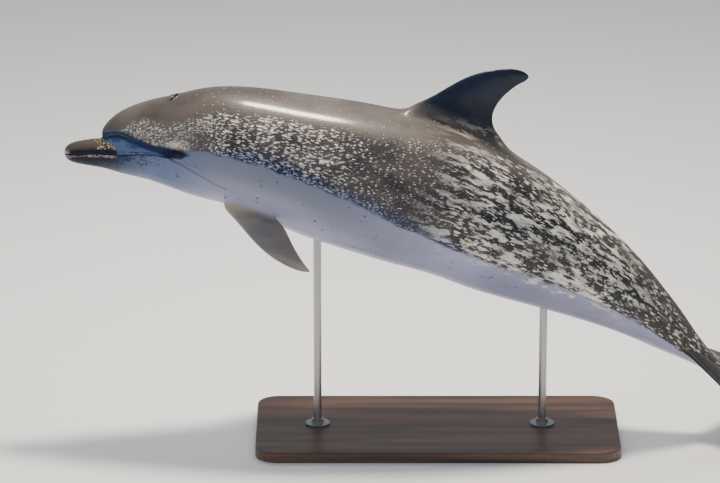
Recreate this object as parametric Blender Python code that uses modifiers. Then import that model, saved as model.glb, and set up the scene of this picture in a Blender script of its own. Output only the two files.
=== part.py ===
"""An adult Atlantic spotted dolphin, leaping, as a life-size model on a display stand.

The animal is laid out whole, as one coarse cage of quads under Subdivision Surface. Rings of the
cage follow a curved midline from the beak's tip to the notch of the flukes, and each fin grows out
of an opening left in the rings. The smooth skin is then parted, with thin cuts, into the pieces
that a person would name, and the eyes and the stand's rods are let into it.

Metres, +Z up, beak towards -X and the animal's left side towards -Y. The origin is the middle of
the stand's underside.
"""

import math

import bmesh
import bpy
import numpy as np

# ---- driving dimensions ----

BODY_LENGTH = 2.05  # beak tip to fluke notch, along the midline
BEAK_TIP_X = -1.016
BEAK_TIP_Z = 0.813

# The leap: how far the midline dips below level, in degrees, at a share of the body's length.
PITCH = (
    (0.00, -5.5),
    (0.10, -3.0),
    (0.18, 1.0),
    (0.27, 13.0),
    (0.36, 15.0),
    (0.46, 17.0),
    (0.56, 26.0),
    (0.66, 29.0),
    (0.76, 34.0),
    (0.86, 39.0),
    (0.92, 37.0),
    (1.00, 31.0),
)

# The body's sections: place along the midline, height above it, depth below it, half width, and
# the powers that make the upper and the lower half boxy (under 1) or keeled (over 1).
SECTIONS = (
    (0.003, 0.010, 0.012, 0.013, 1.00, 1.00),  # beak tip
    (0.012, 0.020, 0.022, 0.020, 0.95, 1.00),
    (0.030, 0.027, 0.031, 0.026, 0.90, 1.00),
    (0.065, 0.031, 0.041, 0.031, 0.90, 1.00),  # middle of the beak
    (0.100, 0.032, 0.050, 0.036, 0.90, 1.00),
    (0.105, 0.035, 0.051, 0.038, 0.95, 1.00),  # crease below the melon
    (0.110, 0.055, 0.053, 0.042, 1.00, 1.00),
    (0.122, 0.073, 0.057, 0.049, 1.05, 1.00),
    (0.145, 0.093, 0.065, 0.060, 1.10, 1.00),  # front of the melon
    (0.175, 0.110, 0.074, 0.072, 1.10, 1.00),
    (0.215, 0.124, 0.085, 0.084, 1.10, 1.00),
    (0.260, 0.135, 0.102, 0.093, 1.05, 1.00),
    (0.305, 0.143, 0.120, 0.101, 1.05, 1.00),  # eyes and blowhole
    (0.350, 0.155, 0.136, 0.112, 1.00, 1.00),
    (0.410, 0.166, 0.148, 0.130, 1.00, 1.00),  # neck
    (0.500, 0.175, 0.158, 0.152, 1.00, 1.00),
    (0.615, 0.185, 0.180, 0.170, 1.00, 1.00),
    (0.740, 0.198, 0.198, 0.182, 1.00, 1.00),
    (0.940, 0.213, 0.205, 0.187, 1.00, 1.00),  # deepest part of the trunk
    (1.100, 0.208, 0.196, 0.175, 1.00, 1.00),
    (1.240, 0.193, 0.184, 0.155, 1.05, 1.00),
    (1.400, 0.163, 0.153, 0.124, 1.15, 1.05),
    (1.560, 0.127, 0.114, 0.086, 1.30, 1.15),
    (1.700, 0.088, 0.077, 0.055, 1.40, 1.30),
    (1.770, 0.069, 0.060, 0.042, 1.35, 1.30),
    (1.830, 0.050, 0.043, 0.034, 1.20, 1.20),  # root of the flukes
    (1.900, 0.030, 0.026, 0.030, 1.00, 1.00),
    (1.970, 0.017, 0.015, 0.026, 1.00, 1.00),
    (2.046, 0.004, 0.004, 0.010, 1.00, 1.00),  # notch
)

# The melon's lower edge runs back along the cheeks, so the rings there sweep back towards the jaw.
CREASE_SWEEP = 0.030
SWEEP_START, SWEEP_PEAK, SWEEP_END = 0.040, 0.105, 0.300
MELON_STEP = (0.102, 0.140)  # sections between these widen the face above the mouth only
JAW_ROWS = (60, 115)  # degrees round a section over which the jaw's own smooth width takes over
JAW_SECTIONS = tuple(part for part in SECTIONS if not MELON_STEP[0] < part[0] < MELON_STEP[1])

# Rings of the cage, in stretches that begin and end at the cuts and the fins' openings.
BEAK_RINGS = (0.003, 0.011, 0.027, 0.052, 0.080, 0.098)
HEAD_RINGS = (0.106, 0.116, 0.132, 0.162, 0.218, 0.285, 0.345)
NECK_RINGS = (0.398,)
FLIPPER_RINGS = (0.447, 0.486, 0.525, 0.564, 0.603)
CHEST_RINGS = (0.690, 0.785)
DORSAL_RINGS = (0.865, 0.940, 1.015, 1.090, 1.165)
LOIN_RINGS = (1.250, 1.380)
STOCK_RINGS = (1.510, 1.610, 1.700, 1.768)
FLUKE_RINGS = (1.822, 1.880, 1.944, 2.008)
NOTCH_RINGS = (2.034, 2.046)

# Rows of the cage: degrees round a section from the top of the back to the middle of the belly.
HEAD_ROWS = (0, 14, 36, 58, 77, 92, 110, 130, 154, 180)
BODY_ROWS = (0, 10, 34, 62, 90, 112, 130, 141, 152, 180)
TAIL_ROWS = (0, 20, 43, 66, 90, 114, 132, 146, 162, 180)
HEAD_TO_BODY = (0.18, 0.43)
BODY_TO_TAIL = (1.20, 1.75)
MOUTH_ROW = 5
GAPE_RING = 0.285  # corner of the mouth

# Fins: each row is leading edge (along, out), trailing edge (along, out) and thickness.
DORSAL_FRAME = 1.025  # place on the midline that the dorsal fin is square to
DORSAL_SECTIONS = (
    (-0.143, 0.233, 0.110, 0.224, 0.046),
    (-0.112, 0.264, 0.080, 0.246, 0.033),
    (-0.075, 0.310, 0.064, 0.282, 0.025),
    (-0.022, 0.367, 0.072, 0.332, 0.018),
    (0.045, 0.408, 0.095, 0.375, 0.011),
    (0.092, 0.4205, 0.1125, 0.396, 0.006),
    (0.1115, 0.4175, 0.1188, 0.4085, 0.003),
)
FLIPPER_FRAME = 0.460
FLIPPER_ROOT = (0.449, 0.0785, -0.1264)  # place, half width and height of the front of the root
FLIPPER_CHORD = (0.984, 0.155, -0.087)
FLIPPER_SPAN = (-0.172, 0.709, -0.684)
FLIPPER_SECTIONS = (
    (0.014, 0.022, 0.160, 0.018, 0.040),
    (0.046, 0.046, 0.186, 0.040, 0.029),
    (0.100, 0.087, 0.215, 0.076, 0.020),
    (0.168, 0.128, 0.252, 0.116, 0.013),
    (0.254, 0.1485, 0.282, 0.1430, 0.005),
)
FLUKE_FRAME = 1.920
FLUKE_SECTIONS = (
    (-0.076, 0.048, 0.138, 0.034, 0.030),
    (-0.034, 0.083, 0.150, 0.070, 0.022),
    (0.024, 0.138, 0.141, 0.124, 0.016),
    (0.086, 0.196, 0.139, 0.185, 0.010),
    (0.142, 0.2325, 0.1565, 0.2315, 0.005),
)
THINNEST = 0.0020  # least thickness of a fin near its trailing edge
NOSE_STEP, TAIL_STEP = 0.25, 0.30  # how near the cage's columns come to a fin's two edges
MIDDLE = 1e-5  # how near the plane of symmetry a point on it may lie

CUT = 0.0003  # gap between neighbouring pieces
SKIN_LEVELS = 1
FITTING_PASSES = 6

EYE_PLACE = 0.314
EYE_DEGREES = 86.5  # how far round the section from the top of the head
EYE_RADIUS = 0.014
EYE_SHOWS = 0.004  # how far the eyeball stands out of its socket
EYE_SEGMENTS = 12

BASE_LENGTH = 1.00
BASE_WIDTH = 0.46
BASE_THICKNESS = 0.030
BASE_CORNER = 0.060
BASE_EDGE = 0.004
ROD_RADIUS = 0.011
ROD_SINK = 0.050  # how far a rod goes up into the body
ROD_SEGMENTS = 18
RODS = {"front": (-0.330, "chest"), "rear": (0.290, "loin")}  # world X, and the piece it holds
COLLAR_RADIUS = 0.034
COLLAR_HEIGHT = 0.016
COLLAR_SHOULDER = 0.017  # radius of the collar's neck

COLLECTION = "spotted_dolphin"


# ---- the scene ----

def clear_scene():
    for thing in list(bpy.data.objects):
        bpy.data.objects.remove(thing, do_unlink=True)


def new_collection(name, hidden=False):
    made = bpy.data.collections.new(name)
    made.hide_render = hidden
    bpy.context.scene.collection.children.link(made)
    return made


def new_material(name, colour, roughness, metallic=0.0):
    material = bpy.data.materials.new(name)
    material.use_nodes = True
    shader = material.node_tree.nodes["Principled BSDF"]
    shader.inputs["Base Color"].default_value = (*colour, 1.0)
    shader.inputs["Roughness"].default_value = roughness
    shader.inputs["Metallic"].default_value = metallic
    return material


# ---- the midline and the sections ----

def smooth_curve(places, sizes, at):
    """A curve through the sizes at these places, with no overshoot between them."""
    places = np.asarray(places, float)
    sizes = np.asarray(sizes, float)
    at = np.clip(at, places[0], places[-1])
    gaps = np.diff(places)
    slopes = np.diff(sizes) / gaps
    tangents = np.empty_like(sizes)
    tangents[0] = slopes[0]
    tangents[-1] = slopes[-1]
    before, after = slopes[:-1], slopes[1:]
    same_way = before * after > 0
    mean = 2 * before * after / np.where(same_way, before + after, 1)
    tangents[1:-1] = np.where(same_way, mean, 0)
    i = np.clip(np.searchsorted(places, at) - 1, 0, len(gaps) - 1)
    t = (at - places[i]) / gaps[i]
    return (
        (2 * t**3 - 3 * t**2 + 1) * sizes[i]
        + (t**3 - 2 * t**2 + t) * gaps[i] * tangents[i]
        + (3 * t**2 - 2 * t**3) * sizes[i + 1]
        + (t**3 - t**2) * gaps[i] * tangents[i + 1]
    )


def ease(start, end, at):
    t = min(max((at - start) / (end - start), 0.0), 1.0)
    return t * t * (3 - 2 * t)


MIDLINE_STEPS = 2000
MIDLINE_PLACES = np.linspace(0, BODY_LENGTH, MIDLINE_STEPS + 1)


def trace_midline():
    """World X and Z of the midline, stepped along it at the pitch of the leap."""
    shares, degrees = zip(*PITCH)
    step = BODY_LENGTH / MIDLINE_STEPS
    middles = (MIDLINE_PLACES[:-1] + step / 2) / BODY_LENGTH
    pitch = np.radians(smooth_curve(shares, degrees, middles))
    run = np.concatenate([[0], np.cumsum(np.cos(pitch) * step)])
    drop = np.concatenate([[0], np.cumsum(np.sin(pitch) * step)])
    return BEAK_TIP_X + run, BEAK_TIP_Z - drop


MIDLINE_X, MIDLINE_Z = trace_midline()


def frame_at(place):
    """The midline's point at this place, its direction towards the tail, and the way up."""
    shares, degrees = zip(*PITCH)
    pitch = math.radians(float(smooth_curve(shares, degrees, place / BODY_LENGTH)))
    point = np.array(
        [
            np.interp(place, MIDLINE_PLACES, MIDLINE_X),
            0.0,
            np.interp(place, MIDLINE_PLACES, MIDLINE_Z),
        ]
    )
    back = np.array([math.cos(pitch), 0.0, -math.sin(pitch)])
    up = np.array([math.sin(pitch), 0.0, math.cos(pitch)])
    return point, back, up


def bent(place, side, height):
    """World point of a spot on the body, given straight: the leap bends the midline under it."""
    point, _, up = frame_at(place)
    return point + up * height + np.array([0.0, side, 0.0])


def rigid(frame_place, along, side, height):
    """World point of a spot on a fin, which keeps its own shape on the bent body."""
    point, back, up = frame_at(frame_place)
    return point + back * along + up * height + np.array([0.0, side, 0.0])


def section_spot(place, degrees):
    """Place, half width and height of a spot on the body, this far round its section."""
    angle = math.radians(degrees)
    if place < SWEEP_PEAK:
        sweep = ease(SWEEP_START, SWEEP_PEAK, place)
    else:
        sweep = 1 - ease(SWEEP_PEAK, SWEEP_END, place)
    swept = place + CREASE_SWEEP * sweep * ease(0, 90, degrees)
    columns = list(zip(*SECTIONS))
    up, _, width, upper, _ = (
        float(smooth_curve(columns[0], column, place)) for column in columns[1:]
    )
    _, down, _, _, lower = (
        float(smooth_curve(columns[0], column, swept)) for column in columns[1:]
    )
    jaw_stops, _, _, jaw_widths, _, _ = zip(*JAW_SECTIONS)
    jaw_width = float(smooth_curve(jaw_stops, jaw_widths, swept))
    width += (jaw_width - width) * ease(*JAW_ROWS, degrees)
    power = upper if degrees < 90 else lower
    height = math.cos(angle) * (up if degrees < 90 else down)
    return swept, width * max(math.sin(angle), 0.0) ** power, height


def row_degrees(place):
    to_body = ease(*HEAD_TO_BODY, place)
    to_tail = ease(*BODY_TO_TAIL, place)
    return [
        (head * (1 - to_body) + body * to_body) * (1 - to_tail) + tail * to_tail
        for head, body, tail in zip(HEAD_ROWS, BODY_ROWS, TAIL_ROWS)
    ]


# ---- the cage ----

RINGS = (
    BEAK_RINGS + HEAD_RINGS + NECK_RINGS + FLIPPER_RINGS + CHEST_RINGS
    + DORSAL_RINGS + LOIN_RINGS + STOCK_RINGS + FLUKE_RINGS + NOTCH_RINGS
)
HALF = len(BODY_ROWS) - 1
ROUND = 2 * HALF

# Each fin's opening: rings, and the rows of its upper side, its edges and its lower side.
OPENINGS = {
    "dorsal_fin": (DORSAL_RINGS, 1, 0, -1),
    "flipper_left": (FLIPPER_RINGS, 6, 7, 8),
    "flipper_right": (FLIPPER_RINGS, -6, -7, -8),
    "fluke_left": (FLUKE_RINGS, 3, 4, 5),
    "fluke_right": (FLUKE_RINGS, -3, -4, -5),
}

# The body's pieces, each from its first ring to the next piece's.
BODY_PIECES = (
    ("upper_beak", BEAK_RINGS[0]),
    ("head", BEAK_RINGS[-1]),
    ("chest", NECK_RINGS[0]),
    ("trunk", CHEST_RINGS[-1]),
    ("loin", LOIN_RINGS[0]),
    ("tail_stock", STOCK_RINGS[0]),
)
JAW = "lower_jaw"


def body_piece(ring, row):
    """The piece that a face between this ring and the next belongs to."""
    place = RINGS[ring]
    if place < GAPE_RING and MOUTH_ROW <= row < ROUND - MOUTH_ROW:
        return JAW
    return [name for name, first in BODY_PIECES if place >= first][-1]


def fin_side(share, thickness):
    """Half thickness of a fin at this share of its chord: a round nose and a fine tail."""
    form = 1.4845 * math.sqrt(share) - 0.63 * share - 1.758 * share**2
    form += 1.4215 * share**3 - 0.518 * share**4
    return max(form * thickness, THINNEST / 2)


def fin_loop(section, columns, spot):
    """One closed loop of a fin: leading edge, upper side, trailing edge, lower side."""
    lead = np.array(section[0:2])
    trail = np.array(section[2:4])
    shares = [(i + NOSE_STEP) / (columns - TAIL_STEP) for i in range(columns)]
    upper = [spot(lead + (trail - lead) * s, fin_side(s, section[4])) for s in shares]
    lower = [spot(lead + (trail - lead) * s, -fin_side(s, section[4])) for s in shares]
    return [spot(lead, 0), *upper, spot(trail, 0), *lower[::-1]]


def dorsal_spot(flat, thick):
    return rigid(DORSAL_FRAME, flat[0], -thick, flat[1])


def fluke_spot(side):
    return lambda flat, thick: rigid(FLUKE_FRAME, flat[0], side * flat[1], thick)


def flipper_spot(side):
    chord = np.array(FLIPPER_CHORD)
    span = np.array(FLIPPER_SPAN)
    face = np.cross(chord, span)

    def spot(flat, thick):
        along, out, height = np.array(FLIPPER_ROOT) + chord * flat[0] + span * flat[1] + face * thick
        return rigid(FLIPPER_FRAME, along - FLIPPER_FRAME, side * out, height)

    return spot


FINS = {
    "dorsal_fin": (DORSAL_SECTIONS, dorsal_spot),
    "flipper_left": (FLIPPER_SECTIONS, flipper_spot(-1)),
    "flipper_right": (FLIPPER_SECTIONS, flipper_spot(1)),
    "fluke_left": (FLUKE_SECTIONS, fluke_spot(-1)),
    "fluke_right": (FLUKE_SECTIONS, fluke_spot(1)),
}


def end_cap(loop):
    """Faces across a loop, in strips between its two sides."""
    count = len(loop)
    half = count // 2
    faces = [(loop[0], loop[1], loop[-1])]
    for i in range(1, half - 1):
        faces.append((loop[i], loop[i + 1], loop[count - i - 1], loop[count - i]))
    faces.append((loop[half], loop[half + 1], loop[half - 1]))
    return faces


def build_cage():
    """Points, faces and each face's piece, for the whole animal."""
    points, faces, pieces = [], [], []

    for place in RINGS:
        rows = [section_spot(place, degrees) for degrees in row_degrees(place)]
        left = [bent(along, -width, height) for along, width, height in rows]
        right = [bent(along, width, height) for along, width, height in rows]
        points += left + right[HALF - 1:0:-1]

    def at(ring, row):
        return ring * ROUND + row % ROUND

    opened = set()
    for rings, upper, _, lower in OPENINGS.values():
        first, last = RINGS.index(rings[0]), RINGS.index(rings[-1])
        for ring in range(first, last):
            opened |= {(ring, row % ROUND) for row in range(min(upper, lower), max(upper, lower))}

    for ring in range(len(RINGS) - 1):
        for row in range(ROUND):
            if (ring, row) not in opened:
                faces.append((at(ring, row), at(ring, row + 1), at(ring + 1, row + 1), at(ring + 1, row)))
                pieces.append(body_piece(ring, row))

    for row, face in enumerate(end_cap([at(0, row) for row in range(ROUND)])):
        faces.append(face)
        pieces.append(JAW if row >= MOUTH_ROW else "upper_beak")
    for face in end_cap([at(len(RINGS) - 1, row) for row in range(ROUND)]):
        faces.append(face)
        pieces.append("tail_stock")

    for name, (sections, spot) in FINS.items():
        rings, upper, edge, lower = OPENINGS[name]
        across = [RINGS.index(ring) for ring in rings]
        loop = [at(across[0], edge)]
        loop += [at(ring, upper) for ring in across]
        loop += [at(across[-1], edge)]
        loop += [at(ring, lower) for ring in reversed(across)]
        piece = body_piece(across[0], edge)
        for section in sections:
            start = len(points)
            points += fin_loop(section, len(across), spot)
            following = list(range(start, len(points)))
            for i in range(len(loop)):
                j = (i + 1) % len(loop)
                faces.append((loop[i], loop[j], following[j], following[i]))
                pieces.append(piece)
            loop = following
            piece = name
        for face in end_cap(loop):
            faces.append(face)
            pieces.append(name)
    return np.array(points), faces, pieces


def smooth_skin(collection):
    """The cage under Subdivision Surface, settled until the skin passes through the cage's sizes."""
    points, faces, pieces = build_cage()
    names = list(dict.fromkeys(pieces))
    mesh = bpy.data.meshes.new("whole_skin")
    mesh.from_pydata(points.tolist(), [], faces)
    mesh.polygons.foreach_set("material_index", [names.index(piece) for piece in pieces])
    for name in names:
        mesh.materials.append(None)
    tidy = bmesh.new()
    tidy.from_mesh(mesh)
    bmesh.ops.recalc_face_normals(tidy, faces=tidy.faces)
    if tidy.calc_volume(signed=True) < 0:
        bmesh.ops.reverse_faces(tidy, faces=tidy.faces)
    tidy.to_mesh(mesh)
    tidy.free()

    whole = bpy.data.objects.new("whole_skin", mesh)
    collection.objects.link(whole)
    subdivision = whole.modifiers.new("Subdivision", "SUBSURF")
    subdivision.levels = SKIN_LEVELS
    subdivision.render_levels = SKIN_LEVELS
    cage = points.copy()
    for _ in range(FITTING_PASSES):
        bpy.context.view_layer.update()
        evaluated = whole.evaluated_get(bpy.context.evaluated_depsgraph_get())
        reached = np.empty(len(evaluated.data.vertices) * 3)
        evaluated.data.vertices.foreach_get("co", reached)
        cage += points - reached.reshape(-1, 3)[: len(points)]
        mesh.vertices.foreach_set("co", cage.ravel())
        mesh.update()

    bpy.context.view_layer.update()
    evaluated = whole.evaluated_get(bpy.context.evaluated_depsgraph_get())
    skin = bpy.data.meshes.new_from_object(evaluated)
    bpy.data.objects.remove(whole, do_unlink=True)
    return skin, names


# ---- the pieces ----

def cut_shift(name):
    """How far a piece moves from its place in the whole skin, to leave the thin cuts open."""
    order = [piece for piece, _ in BODY_PIECES]
    if name == JAW:
        return CUT * np.array([-1.0, 0.0, -1.0])
    if name in order:
        behind_head = order.index(name) - order.index("head")
        return CUT * behind_head * np.array([1.0, 0.0, -0.5 if behind_head > 0 else 0.0])
    side = -1 if name.endswith("left") else 1
    if name.startswith("flipper"):
        _, out, down = FLIPPER_SPAN
        return cut_shift("chest") + CUT * np.array([0.0, side * out, down])
    if name.startswith("fluke"):
        return cut_shift("tail_stock") + CUT * np.array([0.0, side, 0.0])
    return cut_shift("trunk") + CUT * np.array([0.0, 0.0, 1.0])


def boundary_loops(piece):
    """The piece's open edges, as closed loops of vertices."""
    steps = {}
    for edge in piece.edges:
        if edge.is_boundary:
            for vert in edge.verts:
                steps.setdefault(vert, []).append(edge.other_vert(vert))
    loops = []
    while steps:
        start = next(iter(steps))
        loop = [start]
        previous, current = None, start
        while True:
            onward = [vert for vert in steps[current] if vert is not previous][0]
            previous, current = current, onward
            if current is start:
                break
            loop.append(current)
        for vert in loop:
            del steps[vert]
        loops.append(loop)
    return loops


def close_cut(piece, loop):
    """Faces over a cut, in strips between the loop's two like sides."""
    count = len(loop)
    middle = [i for i in range(count) if abs(loop[i].co.y) < MIDDLE]
    if middle:
        start = max(middle, key=lambda i: loop[i].co.z)
    else:
        def strip_lengths(i):
            return sum((loop[i - k].co - loop[(i + k) % count].co).length for k in range(count // 2))

        start = min(range(count), key=strip_lengths)
    strips = [piece.faces.new(corners) for corners in end_cap(loop[start:] + loop[:start])]
    bmesh.ops.triangulate(piece, faces=strips, quad_method="SHORT_EDGE")


def part_skin(skin, names, collection, flesh):
    """Each piece of the skin as its own closed object."""
    for index, name in enumerate(names):
        piece = bmesh.new()
        piece.from_mesh(skin)
        others = [face for face in piece.faces if face.material_index != index]
        bmesh.ops.delete(piece, geom=others, context="FACES")
        for face in piece.faces:
            face.material_index = 0
        for loop in boundary_loops(piece):
            close_cut(piece, loop)
        bmesh.ops.recalc_face_normals(piece, faces=piece.faces)
        if piece.calc_volume(signed=True) < 0:
            bmesh.ops.reverse_faces(piece, faces=piece.faces)
        bmesh.ops.translate(piece, verts=piece.verts, vec=cut_shift(name))
        mesh = bpy.data.meshes.new(name)
        piece.to_mesh(mesh)
        piece.free()
        mesh.materials.clear()
        mesh.materials.append(flesh[name])
        mesh.shade_smooth()
        mesh.set_sharp_from_angle(angle=math.radians(50))
        collection.objects.link(bpy.data.objects.new(name, mesh))


def surface_spot(place, degrees, side):
    """World point on the body and the way out of it there."""
    nudge = 0.004
    here = bent(*section_spot(place, degrees))
    ahead = bent(*section_spot(place + nudge, degrees))
    round_it = bent(*section_spot(place, degrees + 1))
    outward = np.cross(ahead - here, round_it - here)
    outward *= math.copysign(1, outward[1]) / np.linalg.norm(outward)
    flip = np.array([1.0, side, 1.0])
    return here * flip, outward * flip


def ball(name, radius, centre, collection, material=None):
    mesh = bpy.data.meshes.new(name)
    shape = bmesh.new()
    bmesh.ops.create_uvsphere(
        shape, u_segments=EYE_SEGMENTS, v_segments=EYE_SEGMENTS // 2, radius=radius
    )
    shape.to_mesh(mesh)
    shape.free()
    mesh.shade_smooth()
    if material:
        mesh.materials.append(material)
    made = bpy.data.objects.new(name, mesh)
    made.location = centre
    collection.objects.link(made)
    return made


def let_in(piece, cutter):
    """Cuts a socket in a piece. EXACT turns the chest inside out here, so MANIFOLD cuts them all."""
    cutter.display_type = "WIRE"
    cutter.hide_render = True
    socket = bpy.data.objects[piece].modifiers.new(cutter.name, "BOOLEAN")
    socket.operation = "DIFFERENCE"
    socket.solver = "MANIFOLD"
    socket.object = cutter


def set_eyes(parts, cutters, eye_glass):
    for side, name in ((-1, "left"), (1, "right")):
        spot, outward = surface_spot(EYE_PLACE, EYE_DEGREES, side)
        centre = spot - outward * (EYE_RADIUS - EYE_SHOWS)
        ball(f"eye_{name}", EYE_RADIUS, centre, parts, eye_glass)
        let_in("head", ball(f"socket_{name}", EYE_RADIUS + CUT, centre, cutters))


# ---- the stand ----

def belly_above(x):
    """Height of the belly's lowest line over this world X."""
    lowest = [bent(*section_spot(place, 180)) for place in MIDLINE_PLACES[::20]]
    return float(np.interp(x, [point[0] for point in lowest], [point[2] for point in lowest]))


def cylinder(name, radius, bottom, top, x, collection, material=None):
    mesh = bpy.data.meshes.new(name)
    shape = bmesh.new()
    bmesh.ops.create_cone(
        shape, cap_ends=True, segments=ROD_SEGMENTS, radius1=radius, radius2=radius, depth=top - bottom
    )
    shape.to_mesh(mesh)
    shape.free()
    mesh.shade_smooth()
    mesh.set_sharp_from_angle(angle=math.radians(40))
    if material:
        mesh.materials.append(material)
    made = bpy.data.objects.new(name, mesh)
    made.location = (x, 0, (top + bottom) / 2)
    collection.objects.link(made)
    return made


def collar(name, x, collection, material):
    """A turned foot ring round a rod."""
    hole = ROD_RADIUS + CUT
    profile = (
        (COLLAR_SHOULDER, COLLAR_HEIGHT),
        (COLLAR_SHOULDER, COLLAR_HEIGHT * 0.4),
        (COLLAR_RADIUS, COLLAR_HEIGHT * 0.3),
        (COLLAR_RADIUS, 0),
        (hole, 0),
        (hole, COLLAR_HEIGHT),
    )
    mesh = bpy.data.meshes.new(name)
    count = len(profile)
    edges = [(i, (i + 1) % count) for i in range(count)]
    mesh.from_pydata([(radius, 0, height) for radius, height in profile], edges, [])
    mesh.materials.append(material)
    made = bpy.data.objects.new(name, mesh)
    made.location = (x, 0, BASE_THICKNESS + CUT)
    turn = made.modifiers.new("Screw", "SCREW")
    turn.steps = ROD_SEGMENTS
    turn.render_steps = ROD_SEGMENTS
    turn.use_merge_vertices = True
    turn.merge_threshold = 0.0001
    collection.objects.link(made)


def base(collection, material):
    """A flat plate with round corners and eased edges."""
    mesh = bpy.data.meshes.new("stand_base")
    shape = bmesh.new()
    bmesh.ops.create_cube(shape, size=1)
    bmesh.ops.scale(shape, verts=shape.verts, vec=(BASE_LENGTH, BASE_WIDTH, BASE_THICKNESS))
    bmesh.ops.translate(shape, verts=shape.verts, vec=(0, 0, BASE_THICKNESS / 2))
    upright = [edge for edge in shape.edges if abs(edge.verts[0].co.z - edge.verts[1].co.z) > CUT]
    bmesh.ops.bevel(
        shape, geom=upright, offset=BASE_CORNER, segments=5, profile=0.5, affect="EDGES"
    )
    shape.to_mesh(mesh)
    shape.free()
    mesh.shade_smooth()
    mesh.set_sharp_from_angle(angle=math.radians(40))
    mesh.materials.append(material)
    made = bpy.data.objects.new("stand_base", mesh)
    ease_edges = made.modifiers.new("Bevel", "BEVEL")
    ease_edges.width = BASE_EDGE
    ease_edges.segments = 2
    ease_edges.limit_method = "ANGLE"
    ease_edges.angle_limit = math.radians(60)
    collection.objects.link(made)


def build_stand(parts, cutters, wood, steel):
    base(parts, wood)
    for name, (x, held) in RODS.items():
        top = belly_above(x) + ROD_SINK
        foot = BASE_THICKNESS + CUT
        cylinder(f"stand_rod_{name}", ROD_RADIUS, foot, top, x, parts, steel)
        collar(f"stand_collar_{name}", x, parts, steel)
        let_in(held, cylinder(f"bore_{name}", ROD_RADIUS + CUT, foot, top + CUT, x, cutters))


# ---- the finishes: colour, roughness and metallic of each ----

FLESH = {
    "upper_beak": ((0.060, 0.052, 0.048), 0.35),
    "lower_jaw": ((0.180, 0.170, 0.175), 0.35),
    "head": ((0.120, 0.105, 0.095), 0.32),
    "chest": ((0.150, 0.145, 0.150), 0.35),
    "trunk": ((0.130, 0.122, 0.118), 0.35),
    "loin": ((0.110, 0.105, 0.105), 0.38),
    "tail_stock": ((0.080, 0.080, 0.090), 0.38),
    "dorsal_fin": ((0.035, 0.036, 0.045), 0.35),
    "flipper_left": ((0.075, 0.070, 0.070), 0.35),
    "flipper_right": ((0.075, 0.070, 0.070), 0.35),
    "fluke_left": ((0.045, 0.045, 0.052), 0.38),
    "fluke_right": ((0.045, 0.045, 0.052), 0.38),
}
EYE = ((0.012, 0.010, 0.010), 0.08)
WOOD = ((0.050, 0.032, 0.022), 0.45)
STEEL = ((0.560, 0.560, 0.570), 0.30, 1.0)


def main():
    clear_scene()
    parts = new_collection(COLLECTION)
    cutters = new_collection("cutters", hidden=True)
    skin, names = smooth_skin(parts)
    part_skin(skin, names, parts, {name: new_material(name, *FLESH[name]) for name in names})
    bpy.data.meshes.remove(skin)
    set_eyes(parts, cutters, new_material("eye", *EYE))
    build_stand(parts, cutters, new_material("wood", *WOOD), new_material("steel", *STEEL))


main()
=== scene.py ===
import math

import bmesh
import bpy
import numpy as np
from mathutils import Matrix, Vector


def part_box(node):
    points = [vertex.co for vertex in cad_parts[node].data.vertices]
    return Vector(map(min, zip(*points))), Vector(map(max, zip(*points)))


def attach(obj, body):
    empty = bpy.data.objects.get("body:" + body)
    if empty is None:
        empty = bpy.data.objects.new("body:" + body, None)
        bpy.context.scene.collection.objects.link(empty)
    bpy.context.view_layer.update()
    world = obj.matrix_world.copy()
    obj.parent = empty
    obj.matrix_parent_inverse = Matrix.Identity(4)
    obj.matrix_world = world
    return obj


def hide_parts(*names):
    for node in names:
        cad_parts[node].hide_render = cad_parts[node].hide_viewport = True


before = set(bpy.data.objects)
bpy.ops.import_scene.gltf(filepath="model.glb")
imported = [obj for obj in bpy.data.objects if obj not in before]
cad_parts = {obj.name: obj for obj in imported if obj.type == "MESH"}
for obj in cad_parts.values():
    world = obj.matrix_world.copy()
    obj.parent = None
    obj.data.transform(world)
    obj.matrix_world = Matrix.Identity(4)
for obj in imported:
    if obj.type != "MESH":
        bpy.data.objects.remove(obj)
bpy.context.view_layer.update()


# ---- the body's form ----
# An adult Atlantic spotted dolphin in mid-leap: a spindle of muscle and blubber 2.05 m long, bent
# down over its back. Each section is a place along the midline, the height above it, the depth
# below it, the half width, and how keeled the upper and the lower half are.

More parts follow.
